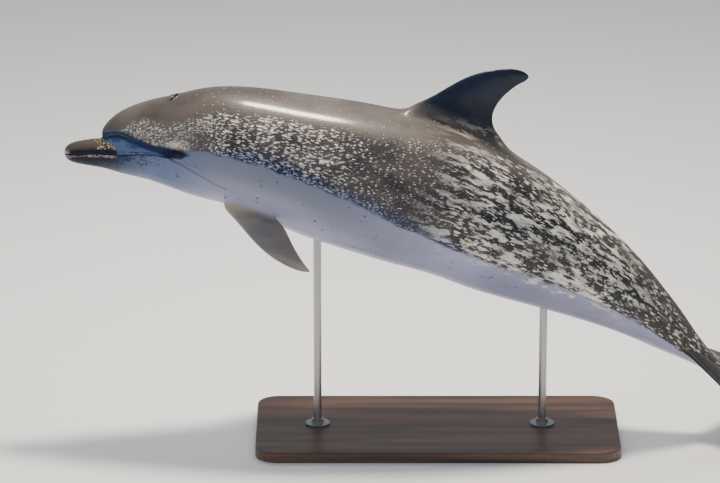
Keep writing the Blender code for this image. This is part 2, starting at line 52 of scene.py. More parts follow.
BODY_LENGTH = 2.05
BEAK_TIP = (-1.016, 0.813)
PITCH = (
    (0.00, -5.5), (0.10, -3.0), (0.18, 1.0), (0.27, 13.0), (0.36, 15.0), (0.46, 17.0),
    (0.56, 26.0), (0.66, 29.0), (0.76, 34.0), (0.86, 39.0), (0.92, 37.0), (1.00, 31.0),
)
SECTIONS = (
    (0.003, 0.010, 0.012, 0.013, 1.00, 1.00),  # beak tip
    (0.012, 0.020, 0.022, 0.020, 0.95, 1.00),
    (0.030, 0.027, 0.031, 0.026, 0.90, 1.00),
    (0.065, 0.031, 0.041, 0.031, 0.90, 1.00),  # middle of the beak
    (0.100, 0.032, 0.050, 0.036, 0.90, 1.00),
    (0.105, 0.035, 0.051, 0.038, 0.95, 1.00),  # crease below the melon
    (0.110, 0.055, 0.053, 0.042, 1.00, 1.00),
    (0.122, 0.073, 0.057, 0.049, 1.05, 1.00),
    (0.145, 0.093, 0.065, 0.060, 1.10, 1.00),  # front of the melon
    (0.175, 0.110, 0.074, 0.072, 1.10, 1.00),
    (0.215, 0.124, 0.085, 0.084, 1.10, 1.00),
    (0.260, 0.135, 0.102, 0.093, 1.05, 1.00),
    (0.305, 0.143, 0.120, 0.101, 1.05, 1.00),  # eyes and blowhole
    (0.350, 0.155, 0.136, 0.112, 1.00, 1.00),
    (0.410, 0.166, 0.148, 0.130, 1.00, 1.00),  # neck
    (0.500, 0.175, 0.158, 0.152, 1.00, 1.00),
    (0.615, 0.185, 0.180, 0.170, 1.00, 1.00),
    (0.740, 0.198, 0.198, 0.182, 1.00, 1.00),
    (0.940, 0.213, 0.205, 0.187, 1.00, 1.00),  # deepest part of the trunk
    (1.100, 0.208, 0.196, 0.175, 1.00, 1.00),
    (1.240, 0.193, 0.184, 0.155, 1.05, 1.00),
    (1.400, 0.163, 0.153, 0.124, 1.15, 1.05),
    (1.560, 0.127, 0.114, 0.086, 1.30, 1.15),
    (1.700, 0.088, 0.077, 0.055, 1.40, 1.30),
    (1.770, 0.069, 0.060, 0.042, 1.35, 1.30),
    (1.830, 0.050, 0.043, 0.034, 1.20, 1.20),  # root of the flukes
    (1.900, 0.030, 0.026, 0.030, 1.00, 1.00),
    (1.970, 0.017, 0.015, 0.026, 1.00, 1.00),
    (2.046, 0.004, 0.004, 0.010, 1.00, 1.00),  # notch
)
CREASE_SWEEP = 0.030  # how far the melon's lower edge runs back along the cheek
SWEEP_START, SWEEP_PEAK, SWEEP_END = 0.040, 0.105, 0.300
MELON_STEP = (0.102, 0.140)  # sections between these widen the face above the mouth only
JAW_ROWS = (60, 115)  # degrees round a section over which the jaw's own smooth width takes over
JAW_SECTIONS = tuple(part for part in SECTIONS if not MELON_STEP[0] < part[0] < MELON_STEP[1])


def smooth_curve(stops, sizes, at):
    """A curve through the sizes at these stops, with no overshoot between them."""
    stops = np.asarray(stops, float)
    sizes = np.asarray(sizes, float)
    at = np.clip(at, stops[0], stops[-1])
    gaps = np.diff(stops)
    slopes = np.diff(sizes) / gaps
    tangents = np.empty_like(sizes)
    tangents[0] = slopes[0]
    tangents[-1] = slopes[-1]
    before, after = slopes[:-1], slopes[1:]
    same_way = before * after > 0
    tangents[1:-1] = np.where(same_way, 2 * before * after / np.where(same_way, before + after, 1), 0)
    i = np.clip(np.searchsorted(stops, at) - 1, 0, len(gaps) - 1)
    t = (at - stops[i]) / gaps[i]
    return (
        (2 * t**3 - 3 * t**2 + 1) * sizes[i]
        + (t**3 - 2 * t**2 + t) * gaps[i] * tangents[i]
        + (3 * t**2 - 2 * t**3) * sizes[i + 1]
        + (t**3 - t**2) * gaps[i] * tangents[i + 1]
    )


def ease(start, end, at):
    """A soft step from 0 at the start to 1 at the end."""
    t = np.clip((at - start) / (end - start), 0.0, 1.0)
    return t * t * (3 - 2 * t)


MIDLINE = np.linspace(0, BODY_LENGTH, 2001)
step = MIDLINE[1]
slope = np.radians(smooth_curve(*zip(*PITCH), (MIDLINE[:-1] + step / 2) / BODY_LENGTH))
MIDLINE_X = BEAK_TIP[0] + np.concatenate([[0], np.cumsum(np.cos(slope) * step)])
MIDLINE_Z = BEAK_TIP[1] - np.concatenate([[0], np.cumsum(np.sin(slope) * step)])


def frame_at(place):
    """The midline's point at this place, its direction towards the tail, and the way up."""
    pitch = math.radians(float(smooth_curve(*zip(*PITCH), place / BODY_LENGTH)))
    point = np.array([np.interp(place, MIDLINE, MIDLINE_X), 0.0, np.interp(place, MIDLINE, MIDLINE_Z)])
    back = np.array([math.cos(pitch), 0.0, -math.sin(pitch)])
    up = np.array([math.sin(pitch), 0.0, math.cos(pitch)])
    return point, back, up


def body_point(leaping, place, side, height):
    """A spot on the body: in the leap, or laid out straight, as the markings are drawn."""
    if not leaping:
        return np.array([place, side, height])
    point, _, up = frame_at(place)
    return point + up * height + np.array([0.0, side, 0.0])


def fin_point(leaping, root, along, side, height):
    """A spot on a fin, which keeps its own shape on the bent body."""
    if not leaping:
        return np.array([root + along, side, height])
    point, back, up = frame_at(root)
    return point + back * along + up * height + np.array([0.0, side, 0.0])


def section_spot(place, degrees):
    """Place, half width and height of a spot this far round a section from the top of the back."""
    angle = math.radians(degrees)
    if place < SWEEP_PEAK:
        sweep = ease(SWEEP_START, SWEEP_PEAK, place)
    else:
        sweep = 1 - ease(SWEEP_PEAK, SWEEP_END, place)
    swept = place + CREASE_SWEEP * sweep * ease(0, 90, degrees)
    stops, *sizes = zip(*SECTIONS)
    up, _, width, upper, _ = (float(smooth_curve(stops, size, place)) for size in sizes)
    _, down, _, _, lower = (float(smooth_curve(stops, size, swept)) for size in sizes)
    jaw_stops, _, _, jaw_widths, _, _ = zip(*JAW_SECTIONS)
    jaw_width = float(smooth_curve(jaw_stops, jaw_widths, swept))
    width += (jaw_width - width) * ease(*JAW_ROWS, degrees)
    power = upper if degrees < 90 else lower
    height = math.cos(angle) * (up if degrees < 90 else down)
    return swept, width * max(math.sin(angle), 0.0) ** power, height


# Rings of the coarse cage, closest on the face, where the skin has its finest folds, and its rows:
# degrees round a section of the head, the trunk and the tail.
DORSAL_RINGS = (0.865, 0.940, 1.015, 1.090, 1.165)
FLIPPER_RINGS = (0.447, 0.486, 0.525, 0.564, 0.603)
FLUKE_RINGS = (1.822, 1.888, 1.962, 2.036)
RINGS = (
    0.003, 0.011, 0.027, 0.052, 0.080, 0.098, 0.1045,
    0.110, 0.119, 0.136, 0.164, 0.198, 0.240, 0.285, 0.325, 0.365, 0.408,
    *FLIPPER_RINGS, 0.690, 0.785, *DORSAL_RINGS, 1.250, 1.380,
    1.510, 1.610, 1.700, 1.768, *FLUKE_RINGS, 2.046,
)
HEAD_ROWS = (0, 14, 36, 58, 77, 92, 110, 130, 154, 180)
BODY_ROWS = (0, 10, 34, 62, 90, 112, 130, 141, 152, 180)
TAIL_ROWS = (0, 20, 43, 66, 90, 114, 132, 146, 162, 180)
HEAD_TO_BODY = (0.18, 0.43)
BODY_TO_TAIL = (1.20, 1.75)
HALF = len(BODY_ROWS) - 1
ROUND = 2 * HALF


def row_degrees(place):
    """The rows' degrees round the section at this place."""
    to_body = ease(*HEAD_TO_BODY, place)
    to_tail = ease(*BODY_TO_TAIL, place)
    trunk = [head * (1 - to_body) + body * to_body for head, body in zip(HEAD_ROWS, BODY_ROWS)]
    return [row * (1 - to_tail) + tail * to_tail for row, tail in zip(trunk, TAIL_ROWS)]


def at(ring, row):
    """The number of the cage's point on this ring and row."""
    return ring * ROUND + row % ROUND


# ---- the fins ----
# The dorsal fin and the flukes are boneless blades of tough fibre, the flippers flattened
# forelimbs. Each grows out of an opening in the body's cage, in sections from root to tip: leading
# edge (along, out), trailing edge (along, out) and thickness.

DORSAL_ROOT = 1.025
DORSAL_SECTIONS = (
    (-0.143, 0.233, 0.110, 0.224, 0.046),
    (-0.112, 0.264, 0.080, 0.246, 0.033),
    (-0.075, 0.310, 0.064, 0.282, 0.025),
    (-0.022, 0.367, 0.072, 0.332, 0.018),
    (0.045, 0.408, 0.095, 0.375, 0.011),
    (0.084, 0.4195, 0.110, 0.3925, 0.007),
    (0.103, 0.4195, 0.1165, 0.4025, 0.005),
    (0.1135, 0.4160, 0.119, 0.409, 0.003),
)
FLIPPER_ROOT = 0.460
FLIPPER_START = np.array([0.449, 0.0785, -0.1264])
FLIPPER_CHORD = np.array([0.984, 0.155, -0.087])
FLIPPER_SPAN = np.array([-0.172, 0.709, -0.684])
FLIPPER_SECTIONS = (
    (0.014, 0.022, 0.160, 0.018, 0.040),
    (0.046, 0.046, 0.186, 0.040, 0.029),
    (0.100, 0.087, 0.215, 0.076, 0.020),
    (0.168, 0.128, 0.252, 0.116, 0.013),
    (0.234, 0.1475, 0.278, 0.1385, 0.006),
    (0.262, 0.1490, 0.283, 0.1450, 0.004),
)
FLUKE_ROOT = 1.920
FLUKE_SECTIONS = (
    (-0.076, 0.048, 0.138, 0.034, 0.030),
    (-0.034, 0.083, 0.150, 0.070, 0.022),
    (0.024, 0.138, 0.141, 0.124, 0.016),
    (0.086, 0.196, 0.139, 0.185, 0.010),
    (0.135, 0.230, 0.157, 0.2275, 0.006),
    (0.145, 0.2335, 0.156, 0.2325, 0.004),
)
THINNEST = 0.0020
NOSE_STEP, TAIL_STEP = 0.25, 0.30


def fin_side(share, thickness):
    """Half thickness of a fin at this share of its chord: a round nose and a fine tail."""
    form = 1.4845 * math.sqrt(share) - 0.63 * share - 1.758 * share**2
    form += 1.4215 * share**3 - 0.518 * share**4
    return max(form * thickness, THINNEST / 2)


def fin_loop(section, columns, spot):
    """One closed loop of a fin: leading edge, upper side, trailing edge, lower side."""
    lead = np.array(section[0:2])
    trail = np.array(section[2:4])
    shares = [(i + NOSE_STEP) / (columns - TAIL_STEP) for i in range(columns)]
    upper = [spot(lead + (trail - lead) * s, fin_side(s, section[4])) for s in shares]
    lower = [spot(lead + (trail - lead) * s, -fin_side(s, section[4])) for s in shares]
    return [spot(lead, 0), *upper, spot(trail, 0), *lower[::-1]]


def dorsal_spot(leaping):
    return lambda flat, thick: fin_point(leaping, DORSAL_ROOT, flat[0], -thick, flat[1])


def fluke_spot(leaping, side):
    return lambda flat, thick: fin_point(leaping, FLUKE_ROOT, flat[0], side * flat[1], thick)


def flipper_spot(leaping, side):
    face = np.cross(FLIPPER_CHORD, FLIPPER_SPAN)

    def spot(flat, thick):
        along, out, height = FLIPPER_START + FLIPPER_CHORD * flat[0] + FLIPPER_SPAN * flat[1] + face * thick
        return fin_point(leaping, FLIPPER_ROOT, along - FLIPPER_ROOT, side * out, height)

    return spot


def fins(leaping):
    """Each fin's sections, its spots, its opening's rings and rows, and which share it counts in."""
    return (
        (DORSAL_SECTIONS, dorsal_spot(leaping), DORSAL_RINGS, (1, 0, -1), 0),
        (FLIPPER_SECTIONS, flipper_spot(leaping, -1), FLIPPER_RINGS, (6, 7, 8), 1),
        (FLIPPER_SECTIONS, flipper_spot(leaping, 1), FLIPPER_RINGS, (-6, -7, -8), 1),
        (FLUKE_SECTIONS, fluke_spot(leaping, -1), FLUKE_RINGS, (3, 4, 5), 2),
        (FLUKE_SECTIONS, fluke_spot(leaping, 1), FLUKE_RINGS, (-3, -4, -5), 2),
    )


def end_cap(loop):
    """Faces across a loop, in strips between its two sides."""
    count = len(loop)
    half = count // 2
    faces = [(loop[0], loop[1], loop[-1])]
    for i in range(1, half - 1):
        faces.append((loop[i], loop[i + 1], loop[count - i - 1], loop[count - i]))
    faces.append((loop[half], loop[half + 1], loop[half - 1]))
    return faces


def build_cage(leaping):
    """Points and faces of the whole animal's cage, and how far out on a fin each point is."""
    points, faces = [], []
    for place in RINGS:
        rows = [section_spot(place, degrees) for degrees in row_degrees(place)]
        left = [body_point(leaping, along, -width, height) for along, width, height in rows]
        right = [body_point(leaping, along, width, height) for along, width, height in rows]
        points += left + right[HALF - 1:0:-1]
    shares = [np.zeros(3) for _ in points]

    opened = set()
    for _, _, rings, (upper, _, lower), _ in fins(leaping):
        for ring in range(RINGS.index(rings[0]), RINGS.index(rings[-1])):
            opened |= {(ring, row % ROUND) for row in range(min(upper, lower), max(upper, lower))}
    for ring in range(len(RINGS) - 1):
        for row in range(ROUND):
            if (ring, row) not in opened:
                faces.append((at(ring, row), at(ring, row + 1), at(ring + 1, row + 1), at(ring + 1, row)))
    faces += end_cap([at(0, row) for row in range(ROUND)])
    faces += end_cap([at(len(RINGS) - 1, row) for row in range(ROUND)])

    for sections, spot, rings, (upper, edge, lower), kind in fins(leaping):
        across = [RINGS.index(ring) for ring in rings]
        loop = [at(across[0], edge), *(at(ring, upper) for ring in across)]
        loop += [at(across[-1], edge), *(at(ring, lower) for ring in reversed(across))]
        for number, section in enumerate(sections):
            start = len(points)
            points += fin_loop(section, len(across), spot)
            share = np.zeros(3)
            share[kind] = (number + 1) / len(sections)
            shares += [share] * (len(points) - start)
            following = list(range(start, len(points)))
            for i in range(len(loop)):
                j = (i + 1) % len(loop)
                faces.append((loop[i], loop[j], following[j], following[i]))
            loop = following
        faces += end_cap(loop)
    return np.array(points), faces, np.array(shares)


# ---- the hide ----
# One unbroken hide from the beak to the flukes, smooth, hairless and wet. It is drawn over the cage
# as a smooth surface through the named sizes, in the leap and laid out straight, so that every spot
# of it knows its place on the straight animal.

FITTING_PASSES = 6
HIDE_LEVELS = 3


def smoothed(points, faces, passes):
    """The smooth surface over a cage, settled in this many passes until it meets the points."""
    mesh = bpy.data.meshes.new("cage")
    mesh.from_pydata(points.tolist(), [], faces)
    cage = bpy.data.objects.new("cage", mesh)
    bpy.context.scene.collection.objects.link(cage)
    surface = cage.modifiers.new("Smooth", "SUBSURF")
    surface.levels = 1
    moved = points.copy()
    for _ in range(passes):
        bpy.context.view_layer.update()
        reached = cage.evaluated_get(bpy.context.evaluated_depsgraph_get()).data
        met = np.empty(len(reached.vertices) * 3)
        reached.vertices.foreach_get("co", met)
        moved += points - met.reshape(-1, 3)[: len(points)]
        mesh.vertices.foreach_set("co", moved.ravel())
        mesh.update()
    surface.levels = HIDE_LEVELS
    bpy.context.view_layer.update()
    made = bpy.data.meshes.new_from_object(cage.evaluated_get(bpy.context.evaluated_depsgraph_get()))
    bpy.data.objects.remove(cage, do_unlink=True)
    return made


def read(mesh, what):
    """The places or normals of a mesh's vertices."""
    values = np.empty(len(mesh.vertices) * 3)
    mesh.vertices.foreach_get(what, values)
    return values.reshape(-1, 3)


def write(mesh, name, values):
    """Keeps a number or a vector for each vertex of a mesh."""
    kind, field = ("FLOAT_VECTOR", "vector") if np.ndim(values) == 2 else ("FLOAT", "value")
    layer = mesh.attributes.get(name) or mesh.attributes.new(name, kind, "POINT")
    layer.data.foreach_set(field, np.asarray(values, np.float32).ravel())


def stored(mesh, name):
    """The vectors kept on a mesh under this name."""
    values = np.empty(len(mesh.vertices) * 3, np.float32)
    mesh.attributes[name].data.foreach_get("vector", values)
    return values.reshape(-1, 3).astype(float)


leaping_points, cage_faces, fin_shares = build_cage(True)
straight_points, _, _ = build_cage(False)
hide = smoothed(leaping_points, cage_faces, FITTING_PASSES)
write(hide, "lie", read(smoothed(straight_points, cage_faces, FITTING_PASSES), "co"))
write(hide, "fins", read(smoothed(fin_shares, cage_faces, 0), "co"))


# ---- folds of the hide ----
# The shut mouth, the melon's lower edge, the crescent of the blowhole, the fold from the mouth's
# corner to the flipper, and the slits of the belly are creases pressed into the skin. Each runs
# through stops of place and degrees round the body. The hide's mesh is cut finer beside them.

FAR = 0.06  # creases and stripes are looked for no further off than this
SPOT_PASSES = 4


def on_skin(place, degrees):
    """The spot of the straight body at this place, this far round it."""
    start = place
    for _ in range(SPOT_PASSES):
        start += place - section_spot(start, degrees)[0]
    return np.array(section_spot(start, degrees))


def traced(stops, count=60):
    """A smooth line over the skin through stops of (place, degrees)."""
    share = np.linspace(0, 1, len(stops))
    fine = np.linspace(0, 1, count)
    places, degrees = (smooth_curve(share, values, fine) for values in zip(*stops))
    return np.array([on_skin(*stop) for stop in zip(places, degrees)])


def off_line(lie, line):
    """How far each spot is from a line drawn on the left side and mirrored on the right, and how
    far along the line it lies, as a share."""
    spots = np.column_stack([lie[:, 0], np.abs(lie[:, 1]), lie[:, 2]])
    gaps = np.full(len(spots), FAR)
    shares = np.zeros(len(spots))
    near = np.all((spots > line.min(0) - FAR) & (spots < line.max(0) + FAR), axis=1)
    close = spots[near]
    best = np.full(len(close), FAR)
    along = np.zeros(len(close))
    for number, (start, end) in enumerate(zip(line[:-1], line[1:])):
        reach = np.clip((close - start) @ (end - start) / ((end - start) @ (end - start)), 0, 1)
        away = np.linalg.norm(close - start - reach[:, None] * (end - start), axis=1)
        along = np.where(away < best, (number + reach) / (len(line) - 1), along)
        best = np.minimum(away, best)
    gaps[near] = best
    shares[near] = along
    return gaps, shares


MOUTH = traced((
    (0.0035, 90), (0.020, 89.5), (0.060, 90), (0.100, 92), (0.130, 92), (0.175, 90),
    (0.216, 88.5), (0.245, 88.5), (0.268, 90), (0.290, 92), (0.300, 95),
))
MELON_EDGE = traced((
    (0.1060, 0), (0.1075, 14), (0.115, 30), (0.128, 43), (0.153, 54), (0.176, 63), (0.195, 70),
    (0.228, 77), (0.262, 81),
))
BROW_FOLD = traced(((0.276, 75), (0.293, 73), (0.311, 70), (0.328, 71), (0.342, 74)), 30)
LID_FOLD = traced((
    (0.274, 80), (0.288, 78), (0.303, 78.5), (0.319, 80.5), (0.329, 83), (0.336, 87),
), 30)
THROAT_FOLD = traced((
    (0.296, 94), (0.320, 98), (0.345, 104), (0.385, 112), (0.421, 118), (0.452, 122),
))
BLOW_PLACE, BLOW_HALF, BLOW_BEND = 0.311, 0.019, 0.013  # the blowhole's crescent
HEAD_TOP_HALF = 0.10  # half width of the head that turns a spot of the crescent into degrees
blow_sides = np.linspace(0, BLOW_HALF, 12)
blow_places = BLOW_PLACE - BLOW_BEND * (blow_sides / BLOW_HALF) ** 2
blow_degrees = np.degrees(np.arcsin(blow_sides / HEAD_TOP_HALF))
blow_heights = [on_skin(*spot)[2] for spot in zip(blow_places, blow_degrees)]
BLOWHOLE = np.column_stack([blow_places, blow_sides, blow_heights])
NAVEL = traced(((0.965, 180), (0.978, 180), (0.990, 180)), 12)
SLIT = traced(((1.275, 180), (1.320, 180), (1.375, 180)), 12)

# Each crease: its line, how deep, how wide, how high its lips stand, and the longest edge that the
# mesh keeps beside it. Every crease dies out over the last share of its length. The folds above the
# eye die out at both ends, and the melon's edge along the cheek.
END_FADE = 0.04
LID_FADE = 0.3
MELON_FADE = 0.45
CREASES = (
    (MOUTH, 0.0026, 0.0013, 0.0007, 0.0013),
    (MELON_EDGE, 0.0036, 0.0030, 0.0, 0.0030),
    (BROW_FOLD, 0.0011, 0.0016, 0.0008, 0.0020),
    (LID_FOLD, 0.0014, 0.0017, 0.0009, 0.0020),
    (THROAT_FOLD, 0.0014, 0.0030, 0.0008, 0.0030),
    (BLOWHOLE, 0.0070, 0.0019, 0.0014, 0.0010),
    (NAVEL, 0.0016, 0.0024, 0.0006, 0.0020),
    (SLIT, 0.0030, 0.0020, 0.0012, 0.0016),
)
CUT_REACHES = (0.0080, 0.0050, 0.0030, 0.0020)
LIP_OFFSET, LIP_SPREAD = 2.6, 1.3  # how far out a crease's lips stand and spread, in its widths


def press(gap, depth, width, lip):
    """How far a crease moves the skin, at this distance from its middle."""
    out = gap / width
    return lip * np.exp(-(((out - LIP_OFFSET) / LIP_SPREAD) ** 2)) - depth * np.exp(-(out**2))


def cut_finer(mesh, near, longest):
    """Splits the edges between the vertices marked near that are longer than this, following the
    skin's curve. Faces left with more than four sides become triangles."""
    fine = bmesh.new()
    fine.from_mesh(mesh)
    edges = [
        edge for edge in fine.edges
        if near[edge.verts[0].index] and near[edge.verts[1].index] and edge.calc_length() > longest
    ]
    bmesh.ops.subdivide_edges(
        fine, edges=edges, cuts=1, use_grid_fill=True, use_single_edge=True,
        smooth=1.0, smooth_falloff="LINEAR", use_smooth_even=True,
    )
    many_sided = [face for face in fine.faces if len(face.verts) > 4]
    bmesh.ops.triangulate(fine, faces=many_sided, ngon_method="BEAUTY")
    fine.to_mesh(mesh)
    fine.free()


for line, _, width, _, longest in CREASES:
    for reach in CUT_REACHES:
        gap, _ = off_line(stored(hide, "lie"), line)
        cut_finer(hide, gap < width * LIP_OFFSET + reach, longest)


# ---- the eyelids ----
# The eye is small and set just above the mouth's corner. The lids are two soft rims that lie on the
# ball, with a brow above, and the skin dips below the ball inside their almond opening.

EYE_PLACE = 0.314
OPENING = (0.0105, 0.0050)  # half length and half height
POINTED = 1.6  # 2 would make the opening an ellipse, and 1 a diamond
LID_EDGE = (0.90, 1.06)  # the skin rises from under the ball to the lids between these shares of it
LID = 0.0009  # how thick the lids are on the ball
RIM = (1.25, 0.2, 0.4)  # their thicker edge: how far out of the opening, its spread and its share
FURROW = (2.3, 0.32, 0.0008)  # the furrow round the lids: how far out, its spread and its depth
BROW = (0.005, 0.024, 0.0035, 0.026, 0.011)  # forward, up, how high, and its half length and height
SWELL = (0.004, 0.0012, 0.020, 0.012)  # under the eye: down, how high, and its half length and height
SOFTNESS = 0.0010  # how softly the skin rises onto the lids
UNDER_BALL = 0.0012
EYE_REACH = 0.06
EYE_CUTS = ((0.036, 0.0026), (0.026, 0.0016), (0.018, 0.0009), (0.0145, 0.0007))  # reach, longest edge

tidy = bmesh.new()
tidy.from_mesh(hide)
bmesh.ops.recalc_face_normals(tidy, faces=tidy.faces)
if tidy.calc_volume(signed=True) < 0:
    bmesh.ops.reverse_faces(tidy, faces=tidy.faces)
tidy.to_mesh(hide)
tidy.free()

eyes = {}
for side in ("left", "right"):
    low, high = (np.array(corner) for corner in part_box(f"eye_{side}"))
    centre = (low + high) / 2
    radius = (high - low).max() / 2
    skin_spots = read(hide, "co")
    nearest = np.argmin(np.linalg.norm(skin_spots - centre, axis=1))
    outward = read(hide, "normal")[nearest]
    _, back, _ = frame_at(EYE_PLACE)
    back = back - outward * (back @ outward)
    back /= np.linalg.norm(back)
    up = np.cross(outward, back)
    up *= math.copysign(1, up[2])
    eyes[side] = (centre, radius, outward, back, up)


def eye_axes(spots, side):
    """Where spots lie about an eye: back, up and out from the ball's centre."""
    centre, _, outward, back, up = eyes[side]
    away = spots - centre
    return away @ back, away @ up, away @ outward


def rim(back, up):
    """How far out of the lids' opening a spot is: 1 on the lids' edge."""
    length, height = OPENING
    return (np.abs(back / length) ** POINTED + np.abs(up / height) ** POINTED) ** (1 / POINTED)


for side in eyes:
    for reach, longest in EYE_CUTS:
        back, up, out = eye_axes(read(hide, "co"), side)
        cut_finer(hide, (np.hypot(back, up) < reach) & (out > 0), longest)

spots = read(hide, "co")
normals = read(hide, "normal")
lie = stored(hide, "lie")
for line, depth, width, lip, _ in CREASES:
    gap, share = off_line(lie, line)
    if line is BLOWHOLE:
        fade = 1.0
    elif line is MELON_EDGE:
        fade = 1 - ease(MELON_FADE, 1.0, share)
    elif line is BROW_FOLD or line is LID_FOLD:
        fade = ease(0, LID_FADE, share) * ease(0, LID_FADE, 1 - share)
    else:
        fade = ease(0, END_FADE, 1 - share)
    spots += normals * (press(gap, depth, width, lip) * fade)[:, None]

for side, (centre, radius, outward, _, _) in eyes.items():
    back, up, out = eye_axes(spots, side)
    around = np.hypot(back, up)
    here = (around < EYE_REACH) & (out > 0)
    forward, above, high, long, tall = BROW
    brow = high * np.exp(-(((back + forward) / long) ** 2) - (((up - above) / tall) ** 2))
    down, high, long, tall = SWELL
    swell = high * np.exp(-((back / long) ** 2) - ((up + down) / tall) ** 2)
    own = out + brow + swell
    ball = np.sqrt(np.maximum(radius**2 - around**2, 0))
    opening = rim(back, up)
    at_rim, spread, share = RIM
    lid = ball + LID * (1 + share * np.exp(-(((opening - at_rim) / spread) ** 2)))
    over = (own + lid + np.sqrt((own - lid) ** 2 + SOFTNESS**2)) / 2
    at_furrow, spread, deep = FURROW
    over -= deep * np.exp(-(((opening - at_furrow) / spread) ** 2))
    inside = 1 - ease(*LID_EDGE, opening)
    target = over * (1 - inside) + (ball - UNDER_BALL) * inside
    spots += np.where(here, target - out, 0)[:, None] * outward
hide.vertices.foreach_set("co", spots.ravel())
hide.update()
hide.shade_smooth()


# ---- the markings, as distances on the straight animal ----
# Grown spotted dolphins are dark above and pale below, with pale flecks on the dark and dark spots
# on the pale. Each edge of the pattern is a line of degrees round the body, from stops along it.

FLANK_EDGE = (
    (0.10, 12), (0.110, 24), (0.118, 37), (0.128, 44), (0.157, 55), (0.176, 63), (0.192, 69),
    (0.228, 75), (0.27, 80), (0.34, 83), (0.43, 84.5), (0.55, 87),
    (0.65, 90), (0.75, 94), (0.86, 100), (0.94, 105), (1.07, 109), (1.19, 111), (1.31, 108),
    (1.45, 106), (1.60, 103), (1.75, 106), (2.05, 115),
)
CAPE_EDGE = (
    (0.10, 60), (0.140, 52), (0.155, 45), (0.181, 38), (0.219, 37), (0.260, 47), (0.294, 50),
    (0.330, 49), (0.370, 42), (0.447, 38), (0.609, 39), (0.822, 39), (0.924, 30), (1.00, 25),
    (1.094, 15), (1.214, 8), (1.40, 12), (1.60, 14), (2.05, 0),
)
# Below this line the dark flank is painted navy, as painted reflection of the sea.
SEA_REFLECTION_EDGE = (
    (0.10, 60), (0.34, 82), (0.43, 80), (0.51, 77), (0.61, 81), (0.73, 87), (0.84, 91),
    (0.93, 95), (1.05, 103), (1.20, 111), (2.05, 150),
)
stops, heights, depths, widths, _, _ = zip(*SECTIONS)
lie = stored(hide, "lie")
above = lie[:, 2] > 0
reach = np.where(above, np.interp(lie[:, 0], stops, heights), np.interp(lie[:, 0], stops, depths))
degrees = np.degrees(np.arccos(np.clip(lie[:, 2] / reach, -1, 1)))
girth = (np.interp(lie[:, 0], stops, widths) + reach) / 2


def above_edge(edge):
    """How far each spot of the hide lies above an edge of the pattern, in metres over the skin."""
    places, angles = zip(*edge)
    return np.radians(np.interp(lie[:, 0], places, angles) - degrees) * girth


edges = [above_edge(edge) for edge in (FLANK_EDGE, CAPE_EDGE, SEA_REFLECTION_EDGE)]
write(hide, "edges", np.stack(edges, axis=1))

EYE_STRIPE = traced((
    (0.108, 0), (0.110, 14), (0.117, 31), (0.130, 43), (0.155, 54), (0.176, 62), (0.194, 69),
    (0.228, 77), (0.262, 82), (0.295, 85.5), (0.318, 87),
))
STRIPE_SHARES = (0, 0.15, 0.45, 0.75, 1)
STRIPE_HALVES = (0.009, 0.009, 0.007, 0.008, 0.009)  # its half width at these shares of its length
EYE_PATCH = (-0.011, -0.001, 0.034, 0.0115)  # back, up, and its half length and height
NO_LIDS = 9.0  # stands for a spot nowhere near an eye
spots = read(hide, "co")
gap, share = off_line(lie, EYE_STRIPE)
stripe = gap - np.interp(share, STRIPE_SHARES, STRIPE_HALVES)
patch = np.full(len(lie), FAR)
brow = np.zeros(len(lie))
lids = np.full(len(lie), NO_LIDS)
for side in eyes:
    back, up, out = eye_axes(spots, side)
    near = (np.hypot(back, up) < FAR) & (out > 0)
    lids = np.where(near, np.minimum(lids, rim(back, up)), lids)
    back_from, up_from, long, tall = EYE_PATCH
    oval = (np.hypot((back - back_from) / long, (up - up_from) / tall) - 1) * tall
    patch = np.where(near, np.minimum(patch, oval), patch)
    forward, above, _, long, tall = BROW
    brow += near * np.exp(-(((back + forward) / long) ** 2) - (((up - above) / tall) ** 2))
write(hide, "face", np.stack([stripe, patch, off_line(lie, BLOWHOLE)[0]], axis=1))
# The brow's share marks where the brow is painted paler, as a painted highlight on its swelling.
write(hide, "brow", brow)
write(hide, "throat_fold_shade", off_line(lie, THROAT_FOLD)[0])

over_mouth = lie[:, 2] - np.interp(lie[:, 0], MOUTH[:, 0], MOUTH[:, 2])
write(hide, "mouth", np.stack([off_line(lie, MOUTH)[0], over_mouth, lids], axis=1))


# ---- the hide's colours ----
# The colour lies in the hide's outer layer: slate grey above and pale grey below, under a film of
# water that shines most on the back. The brown tint on the back is painted sunlight, and the blue
# and lavender tints below, on the face and on the fins are painted reflection of the sea. The
# pattern is drawn on the straight animal and bends with it.


def chip(red, green, blue):
    """A paint chip's colour, from 0 to 255, as the light it gives back."""
    shares = np.array([red, green, blue]) / 255
    light = np.where(shares <= 0.04045, shares / 12.92, ((shares + 0.055) / 1.055) ** 2.4)
    return (*light.tolist(), 1.0)


def new_finish(name):
    """A new material, its node tree and its shader."""
    material = bpy.data.materials.new(name)
    material.use_nodes = True
    return material, material.node_tree, material.node_tree.nodes["Principled BSDF"]


def add(tree, kind, inputs=(), **settings):
    """A node with its settings, and its inputs as numbers, colours or links."""
    made = tree.nodes.new(kind)
    for key, value in settings.items():
        setattr(made, key, value)
    for key, value in dict(inputs).items():
        if isinstance(value, bpy.types.NodeSocket):
            tree.links.new(value, made.inputs[key])
        else:
            made.inputs[key].default_value = value
    return made


def sum_of(operation, *values):
    """One sum of numbers and links, in the tree that its links belong to."""
    tree = next(value.id_data for value in values if isinstance(value, bpy.types.NodeSocket))
    return add(tree, "ShaderNodeMath", enumerate(values), operation=operation).outputs[0]


def plus(first, second):
    return sum_of("ADD", first, second)


def minus(first, second):
    return sum_of("SUBTRACT", first, second)


def both(*values):
    """The product of several shares."""
    made = values[0]
    for value in values[1:]:
        made = sum_of("MULTIPLY", made, value)
    return made


def either(*values):
    made = values[0]
    for value in values[1:]:
        made = sum_of("MAXIMUM", made, value)
    return made


